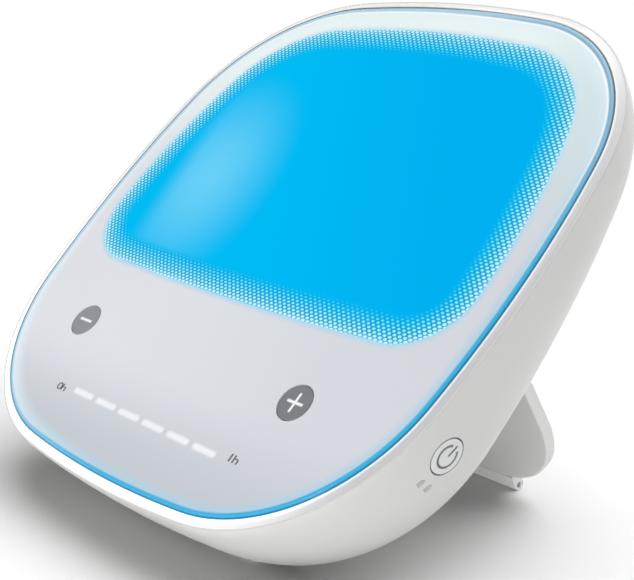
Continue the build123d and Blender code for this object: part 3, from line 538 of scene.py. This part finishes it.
faceButtons = {
    # painted shade: the plus cap, on the right, is given a darker grey than the minus cap
    "minus_button": {"u": -39.6, "cross": False, "colour": screen(132, 136, 141)},
    "plus_button": {"u": 36.8, "cross": True, "colour": screen(112, 118, 122)},
}
faceButton = {
    "height": -37.5, "signLength": 4.6, "signWidth": 0.6, "signSpan": (0.18, -0.16),
    "sign": screen(238, 240, 243),
    "roughness": 0.38, "specular": 0.3, "grain": (3000, 0.12),
}


def makeFaceButtonMaterial(name, u, cross, colour):
    b = faceButton
    material, tree, shader = newMaterial(name)
    place = objectPlace(tree, faceToWorld @ Matrix.Translation((u, b["height"], 0)))
    x, y = split(tree, place)[:2]
    outside = barDistance(tree, x, y, b["signLength"], b["signWidth"])
    if cross:
        upright = barDistance(tree, y, x, b["signLength"], b["signWidth"])
        outside = calc(tree, "MINIMUM", outside, upright)
    sign = slope(tree, outside, *b["signSpan"])
    tree.links.new(blendColour(tree, sign, colour, b["sign"]), shader.inputs["Base Color"])
    shader.inputs["Roughness"].default_value = b["roughness"]
    shader.inputs["Specular IOR Level"].default_value = b["specular"]
    grain(tree, shader, *b["grain"])
    return material


powerButton = {
    "capDepth": 1.5,             # below its highest point, where the cap is still a full circle
    # the symbol: an open ring, open by "opening" degrees each side, and a bar in the gap
    "ringRadius": 2.3, "stroke": 0.52, "opening": 26.0, "barStart": 0.1, "barEnd": 2.8,
    "symbolSpan": (0.1, -0.1),
    "cap": screen(214, 215, 215), "symbol": screen(92, 93, 95),
    "roughness": 0.35, "grain": (2600, 0.12), "rounding": 0.15,
}


def powerFrame():
    # z out of the wall, y up it, from the middle of the cap
    joint = next(j for j in frame["joints"] if j["name"] == "power_button_press")
    out = -Vector(joint["axis"]).normalized()
    pitch = math.radians(face["pitch"])
    across = Vector((0, math.cos(pitch), math.sin(pitch))).cross(out).normalized()
    turn = Matrix((across, out.cross(across), out)).transposed().to_4x4()
    ends = [turn.transposed() @ vertex.co for vertex in nodes["power_button"].data.vertices]
    reach = max(end.z for end in ends)
    rim = [end for end in ends if end.z > reach - powerButton["capDepth"] * mm]
    middle = Vector((
        (min(end.x for end in rim) + max(end.x for end in rim)) / 2,
        (min(end.y for end in rim) + max(end.y for end in rim)) / 2, reach))
    return Matrix.Translation(turn @ middle) @ turn @ Matrix.Scale(mm, 4)


def makePowerMaterial():
    b = powerButton
    material, tree, shader = newMaterial("powerCap")
    x, y = split(tree, objectPlace(tree, powerFrame()))[:2]
    fromRing = calc(tree, "SUBTRACT", vectorCalc(tree, "LENGTH", join(tree, x, y)), b["ringRadius"])
    ring = calc(tree, "SUBTRACT", calc(tree, "ABSOLUTE", fromRing), b["stroke"] / 2)
    openHalf = math.tan(math.radians(b["opening"]))
    wedge = calc(tree, "SUBTRACT", multiply(tree, y, openHalf), calc(tree, "ABSOLUTE", x))
    ring = calc(tree, "MAXIMUM", ring, wedge)
    middle, length = (b["barStart"] + b["barEnd"]) / 2, b["barEnd"] - b["barStart"]
    bar = barDistance(tree, calc(tree, "SUBTRACT", y, middle), x, length, b["stroke"])
    symbol = slope(tree, calc(tree, "MINIMUM", ring, bar), *b["symbolSpan"])
    tree.links.new(blendColour(tree, symbol, b["cap"], b["symbol"]), shader.inputs["Base Color"])
    shader.inputs["Roughness"].default_value = b["roughness"]
    grain(tree, shader, *b["grain"], rounding=b["rounding"])
    return material


bezelShape = {
    # closed section: millimetres outside the plate's outline, and above its surface
    "section": [
        (-2.75, -4.6), (-2.75, -3.3), (0.05, -3.3), (0.05, -0.55), (0.08, -0.4), (0.17, -0.33),
        (0.3, -0.31), (0.42, -0.34), (0.56, -0.46), (0.76, -0.62), (1.0, -0.745), (1.3, -0.83),
        (1.6, -0.868), (1.82, -0.872), (1.88, -0.885), (1.9, -0.9), (0.8, -0.9), (0.8, -4.8),
        (0.05, -4.8), (0.05, -4.6),
    ],
    "step": 2.0,                 # millimetres between points along the outline
    "leastSteps": 4,             # along any one arc
}
sharpAngle = 35.0                # degrees between faces, past which an edge stays sharp


def spinRing(bm, outline, growth, height):
    # one closed ring of edges on a parallel outline, spun arc by arc
    arcs = rightArcs(outline)
    first, second, third, fourth = [math.atan2(way.y, way.x) for corner, way in arcMeetings(arcs)]
    turns = [second - first, third - second, fourth - third]
    sweeps = [2 * first - math.pi] + turns + [-math.pi - 2 * fourth] + turns[::-1]
    mirrored = [(Vector((-centre.x, centre.y)), radius) for centre, radius in arcs[3:0:-1]]
    start = math.pi - first
    top, topRadius = arcs[0]
    reach = topRadius + growth
    earlier = set(bm.edges)
    vertex = bm.verts.new((
        top.x + reach * math.cos(start), top.y + reach * math.sin(start), height))
    made = [vertex]
    for (centre, radius), sweep in zip(arcs + mirrored, sweeps):
        steps = max(bezelShape["leastSteps"], round(abs(sweep) * radius / bezelShape["step"]))
        spun = bmesh.ops.spin(
            bm, geom=[vertex], cent=(*centre, height), axis=(0, 0, 1), dvec=(0, 0, 0),
            angle=sweep, steps=steps, use_duplicate=False)
        vertex = next(item for item in spun["geom_last"] if isinstance(item, bmesh.types.BMVert))
        made.append(vertex)
    bmesh.ops.weld_verts(bm, targetmap={made[-1]: made[0]})
    return [edge for edge in bm.edges if edge not in earlier]


def finishPiece(bm, name, material, place=faceToWorld):
    # writes the mesh in its place, with its object at the origin
    bmesh.ops.transform(bm, matrix=place, verts=bm.verts)
    mesh = bpy.data.meshes.new(name)
    bm.to_mesh(mesh)
    bm.free()
    mesh.polygons.foreach_set("use_smooth", [True] * len(mesh.polygons))
    mesh.set_sharp_from_angle(angle=math.radians(sharpAngle))
    mesh.materials.append(material)
    piece = bpy.data.objects.new(name, mesh)
    bpy.context.scene.collection.objects.link(piece)
    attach(piece, "root")
    return piece


bezelFinishAndPaintedLight = {
    "white": screen(240, 240, 239), "variation": 0.006,
    # painted shade: a greyer band along the right, outside the plate's outline
    "band": screen(190, 190, 192), "bandSpan": (0.3, 0.7),
    "rightLean": -0.35, "rightSpan": (22.0, 58.0),
    # painted light: the bezel glows a little below and to the left, standing in for the light that
    # falls on it there
    "glow": 0.4, "paintedGlowLean": 0.45, "paintedGlowSpan": (-15.0, -55.0),
    "roughness": 0.2, "coat": 0.3, "grain": (1200, 0.03),
}


def makeBezelMaterial():
    b = bezelFinishAndPaintedLight
    material, tree, shader = newMaterial("glossWhiteWithPaintedLight")
    place = objectPlace(tree, faceToWorld)
    u, v = split(tree, place)[:2]
    outside = outlineDistance(tree, place, plateOutline)
    # painted shade: a greyer band along the right
    right = slope(tree, leaning(tree, u, v, b["rightLean"]), *b["rightSpan"])
    band = multiply(tree, slope(tree, outside, *b["bandSpan"]), right)
    colour = blendColour(tree, band, b["white"], b["band"])
    tree.links.new(mottled(tree, colour, b["variation"]), shader.inputs["Base Color"])
    # painted light: a glow below and to the left
    below = slope(tree, leaning(tree, v, u, b["paintedGlowLean"]), *b["paintedGlowSpan"])
    own = blendColour(tree, multiply(tree, below, b["glow"]), black, white)
    tree.links.new(own, shader.inputs["Emission Color"])
    shader.inputs["Emission Strength"].default_value = 1.0
    shader.inputs["Roughness"].default_value = b["roughness"]
    shader.inputs["Coat Weight"].default_value = b["coat"]
    grain(tree, shader, *b["grain"])
    return material


def makeBezel(material):
    bm = bmesh.new()
    rings = [spinRing(bm, plateOutline, growth, height) for growth, height in bezelShape["section"]]
    for ring, following in zip(rings, rings[1:] + rings[:1]):
        bmesh.ops.bridge_loops(bm, edges=ring + following)
    bmesh.ops.recalc_face_normals(bm, faces=bm.faces)
    piece = finishPiece(bm, "bezelRing", material)
    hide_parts("bezel")


hourMarks = {
    "size": 2.5, "wide": 1.65, "bold": 0.025, "spacing": 0.82, "proud": 0.02,
    "words": {"hourMarkStart": ("0h", (-30.1, -55.2)), "hourMarkEnd": ("1h", (31.9, -53.6))},
}


def makeHourMarks(material):
    for name, (word, (u, v)) in hourMarks["words"].items():
        curve = bpy.data.curves.new(name, "FONT")
        curve.body = word
        curve.size = hourMarks["size"]
        curve.align_x = "CENTER"
        curve.space_character = hourMarks["spacing"]
        curve.extrude = hourMarks["proud"] / 2
        curve.offset = hourMarks["bold"]
        flat = bpy.data.objects.new(name, curve)
        mesh = bpy.data.meshes.new_from_object(flat)
        bpy.data.objects.remove(flat)
        bm = bmesh.new()
        bm.from_mesh(mesh)
        bpy.data.meshes.remove(mesh)
        place = (faceToWorld @ Matrix.Translation((u, v, hourMarks["proud"] / 2))
                 @ Matrix.Scale(hourMarks["wide"], 4, (1, 0, 0)))
        finishPiece(bm, name, material, place)


# Each plain finish, and the nodes that have it. Grain is its scale and its strength;
# rounding and grain depth are in millimetres.
plainFinish = {
    "metallic": 0.0, "coat": 0.0, "variation": 0.04, "rounding": 0.0, "grainDepth": grainDepth,
    "nodes": [],
}
plainFinishes = {
    "satinWhite": {
        "colour": screen(205, 205, 203), "roughness": 0.34, "grain": (2600, 0.16), "coat": 0.12,
        "variation": 0.008, "rounding": 0.25, "nodes": ["rear_housing"],
    },
    "standWhite": {
        "colour": screen(204, 204, 203), "roughness": 0.4, "grain": (2600, 0.16),
        "variation": 0.008, "rounding": 0.3, "nodes": ["stand_flap"],
    },
    "greyPrint": {"colour": screen(84, 85, 90), "roughness": 0.5, "grain": (4000, 0.1)},
    "paleRubber": {
        "colour": screen(212, 212, 211), "roughness": 0.62, "grain": (1800, 0.3),
        "rounding": 0.2, "nodes": ["foot_pads", "foot_bar"],
    },
    "greyWindow": {
        "colour": screen(178, 179, 180), "roughness": 0.3, "grain": (3000, 0.05),
        "nodes": ["status_lights"],
    },
    "innerWhite": {
        "colour": screen(205, 205, 202), "roughness": 0.5, "grain": (1500, 0.2),
        "nodes": ["inner_frame", "light_tray", "printed_film", "hinge_washers"],
    },
    "blackPlastic": {
        "colour": screen(34, 34, 36), "roughness": 0.42, "grain": (2200, 0.25), "rounding": 0.15,
        "nodes": ["power_socket", "face_switches", "driver_parts", "power_switch"],
    },
    "steel": {
        "colour": screen(176, 176, 174), "roughness": 0.3, "grain": (5000, 0.2), "metallic": 1.0,
        "rounding": 0.1,
        "nodes": ["bezel_screws", "tray_screws", "board_screws", "power_board_screws",
                  "housing_screws", "foot_rod", "hinge_axle"],
    },
    "aluminium": {
        "colour": screen(190, 191, 193), "roughness": 0.38, "grain": (4000, 0.25),
        "metallic": 1.0, "nodes": ["led_bar"],
    },
    "boardGreen": {
        "colour": screen(28, 92, 58), "roughness": 0.4, "grain": (1500, 0.2), "coat": 0.3,
        "variation": 0.15, "nodes": ["control_board", "led_strip", "power_board"],
    },
    "opalSheet": {
        "colour": screen(232, 236, 240), "roughness": 0.5, "grain": (800, 0.1),
        "nodes": ["diffuser", "light_guide", "reflector", "light_pipes"],
    },
    "blackFoam": {
        "colour": screen(30, 30, 32), "roughness": 0.9, "grain": (3500, 0.6),
        "grainDepth": 0.06, "nodes": ["plate_tape", "battery_tape"],
    },
    "batteryWrap": {
        "colour": screen(52, 84, 132), "roughness": 0.34, "grain": (500, 0.25), "coat": 0.3,
        "nodes": ["battery_pack"],
    },
    "ledPackage": {
        "colour": screen(236, 226, 150), "roughness": 0.35, "grain": (2500, 0.1),
        "nodes": ["strip_leds", "indicator_leds"],
    },
}
coatRoughness = 0.12
roughnessSpread = 0.15           # share by which the roughness varies, up and down
spreadScale = 6                  # the variation is this many times coarser than the grain


def makePlainFinish(name, look):
    scale, strength = look["grain"]
    material, tree, shader = newMaterial(name)
    colour = mottled(tree, look["colour"], look["variation"])
    tree.links.new(colour, shader.inputs["Base Color"])
    shader.inputs["Metallic"].default_value = look["metallic"]
    shader.inputs["Coat Weight"].default_value = look["coat"]
    shader.inputs["Coat Roughness"].default_value = coatRoughness
    low = look["roughness"] * (1 - roughnessSpread)
    high = min(1.0, look["roughness"] * (1 + roughnessSpread))
    varied = blendValue(tree, noise(tree, scale / spreadScale), low, high)
    tree.links.new(varied, shader.inputs["Roughness"])
    grain(tree, shader, scale, strength, look["grainDepth"], look["rounding"])
    return material


def paintNode(name, material):
    piece = nodes[name]
    piece.data.materials.clear()
    piece.data.materials.append(material)


def paintNodes():
    finishes = {}
    for finish, own in plainFinishes.items():
        look = {**plainFinish, **own}
        finishes[finish] = makePlainFinish(finish, look)
        for name in look["nodes"]:
            paintNode(name, finishes[finish])
    paintNode("front_plate", makeFaceMaterial())
    for name, b in faceButtons.items():
        cap = makeFaceButtonMaterial(name + "Cap", b["u"], b["cross"], b["colour"])
        paintNode(name, cap)
    paintNode("power_button", makePowerMaterial())
    print("nodes painted")
    return finishes


camera = {
    "fromFace": (233.2, -190.2, 64.7),       # from the middle of the clear plate
    "azimuth": 49.49, "elevation": 14.77,
    "lens": 79.14, "sensor": 36.0,
    "nearest": 0.01,                         # metres
}
room = {
    "floorHalf": 6.0,
    "floor": screen(210, 210, 210),
    "floorRoughness": 0.9, "floorMottle": 0.004, "floorMottleScale": 3,
    "worldLevel": 0.21,
    "whiteSpan": (0.12, 0.24),               # metres from the lamp where the floor turns white
}
# Places, aims and sizes in metres. A lamp lights all there is, the floor alone, everything
# besides the floor ("lamp"), or the stand and its foot alone.
lamps = {
    "overhead": {
        "place": (0.15, 0.3, 1.0), "aim": (0, 0, 0), "size": (1.5, 1.5),
        "power": 11.0, "for": "all",
    },
    "floorLight": {
        "place": (0.15, 0.3, 1.0), "aim": (0, 0, 0), "size": (1.5, 1.5),
        "power": 16.5, "for": "floor",
    },
    "front": {
        "place": (0.0, -1.0, 0.11), "aim": (0, 0, 0.05), "size": (0.8, 0.2),
        "power": 5.8, "for": "lamp",
    },
    "bounce": {
        "place": (0.35, -0.6, -0.3), "aim": (0, 0, 0.04), "size": (0.8, 0.8),
        "power": 1.3, "for": "lamp",
    },
    "low": {
        "place": (0.9, -0.6, 0.14), "aim": (0.03, 0, 0.04), "size": (0.6, 0.2),
        "power": 0.3, "for": "lamp",
    },
    "side": {
        "place": (0.9, 0.5, 0.5), "aim": (0.03, 0.05, 0.09), "size": (0.4, 0.4),
        "power": 0.6, "for": "lamp",
    },
    "rear": {
        "place": (-0.5, 1.0, 0.5), "aim": (0, 0, 0.05), "size": (0.8, 0.6),
        "power": 4.0, "for": "lamp",
    },
    "stand": {
        "place": (0.8, -0.75, 0.1), "aim": (0, 0.04, 0.02), "size": (0.4, 0.2),
        "power": 3.4, "for": "stand",
    },
}


def seenRays(tree):
    # 1 for what the camera sees, straight or in gloss and glass; 0 for light on the pieces
    rays = tree.nodes.new("ShaderNodeLightPath")
    seen = calc(tree, "MAXIMUM", rays.outputs["Is Camera Ray"], rays.outputs["Is Glossy Ray"])
    return calc(tree, "MAXIMUM", seen, rays.outputs["Is Transmission Ray"])


def makeFloor():
    bm = bmesh.new()
    bmesh.ops.create_grid(bm, x_segments=1, y_segments=1, size=room["floorHalf"])
    mesh = bpy.data.meshes.new("floor")
    bm.to_mesh(mesh)
    bm.free()
    material, tree, shader = newMaterial("paleFloor")
    x, y = split(tree, objectPlace(tree))[:2]
    away = vectorCalc(tree, "LENGTH", join(tree, x, y))
    colour = mottled(tree, room["floor"], room["floorMottle"], room["floorMottleScale"])
    tree.links.new(colour, shader.inputs["Base Color"])
    shader.inputs["Roughness"].default_value = room["floorRoughness"]
    shader.inputs["Specular IOR Level"].default_value = 0.0
    glow = tree.nodes.new("ShaderNodeEmission")
    mix = tree.nodes.new("ShaderNodeMixShader")
    share = multiply(tree, seenRays(tree), slope(tree, away, *room["whiteSpan"]))
    for socket, source in zip(mix.inputs, (share, shader.outputs[0], glow.outputs[0])):
        tree.links.new(source, socket)
    output = next(node for node in tree.nodes if node.type == "OUTPUT_MATERIAL")
    tree.links.new(mix.outputs[0], output.inputs["Surface"])
    mesh.materials.append(material)
    floor = bpy.data.objects.new("floor", mesh)
    bpy.context.scene.collection.objects.link(floor)
    return floor


def makeWorld():
    world = bpy.data.worlds.new("studio")
    world.use_nodes = True
    tree = world.node_tree
    background = tree.nodes["Background"]
    background.inputs["Color"].default_value = white
    level = blendValue(tree, seenRays(tree), room["worldLevel"], 1.0)
    tree.links.new(level, background.inputs["Strength"])
    bpy.context.scene.world = world


def litCollection(name, pieces, state):
    # what a lamp lights, or leaves out
    collection = bpy.data.collections.new(name)
    for piece in pieces:
        collection.objects.link(piece)
    for entry in collection.collection_objects:
        entry.light_linking.link_state = state
    return collection


def makeLamps(floor):
    stand = [nodes["stand_flap"], nodes["foot_bar"]]
    lit = {
        "lamp": litCollection("besidesFloor", [floor], "EXCLUDE"),
        "floor": litCollection("floorAlone", [floor], "INCLUDE"),
        "stand": litCollection("stand", stand, "INCLUDE"),
    }
    for name, lamp in lamps.items():
        light = bpy.data.lights.new(name, "AREA")
        light.shape = "RECTANGLE"
        light.size, light.size_y = lamp["size"]
        light.energy = lamp["power"]
        holder = bpy.data.objects.new(name, light)
        bpy.context.scene.collection.objects.link(holder)
        if lamp["for"] in lit:
            holder.light_linking.receiver_collection = lit[lamp["for"]]
            holder.light_linking.blocker_collection = lit["lamp"]
        place = Vector(lamp["place"])
        turn = (Vector(lamp["aim"]) - place).to_track_quat("-Z", "Y")
        holder.matrix_world = Matrix.Translation(place) @ turn.to_matrix().to_4x4()


def makeCamera():
    data = bpy.data.cameras.new("camera")
    data.sensor_fit = "HORIZONTAL"
    data.sensor_width = camera["sensor"]
    data.lens = camera["lens"]
    data.clip_start = camera["nearest"]
    holder = bpy.data.objects.new("camera", data)
    bpy.context.scene.collection.objects.link(holder)
    holder.location = facePlace + Vector(camera["fromFace"]) * mm
    holder.rotation_euler = (
        math.radians(90 - camera["elevation"]), 0, math.radians(camera["azimuth"]))
    bpy.context.scene.camera = holder


finishes = paintNodes()
makeBezel(makeBezelMaterial())
makeHourMarks(finishes["greyPrint"])
print("pieces made")
floor = makeFloor()
makeWorld()
makeLamps(floor)
makeCamera()
bpy.context.scene.view_settings.view_transform = "Standard"
print("room, lamps and camera set")
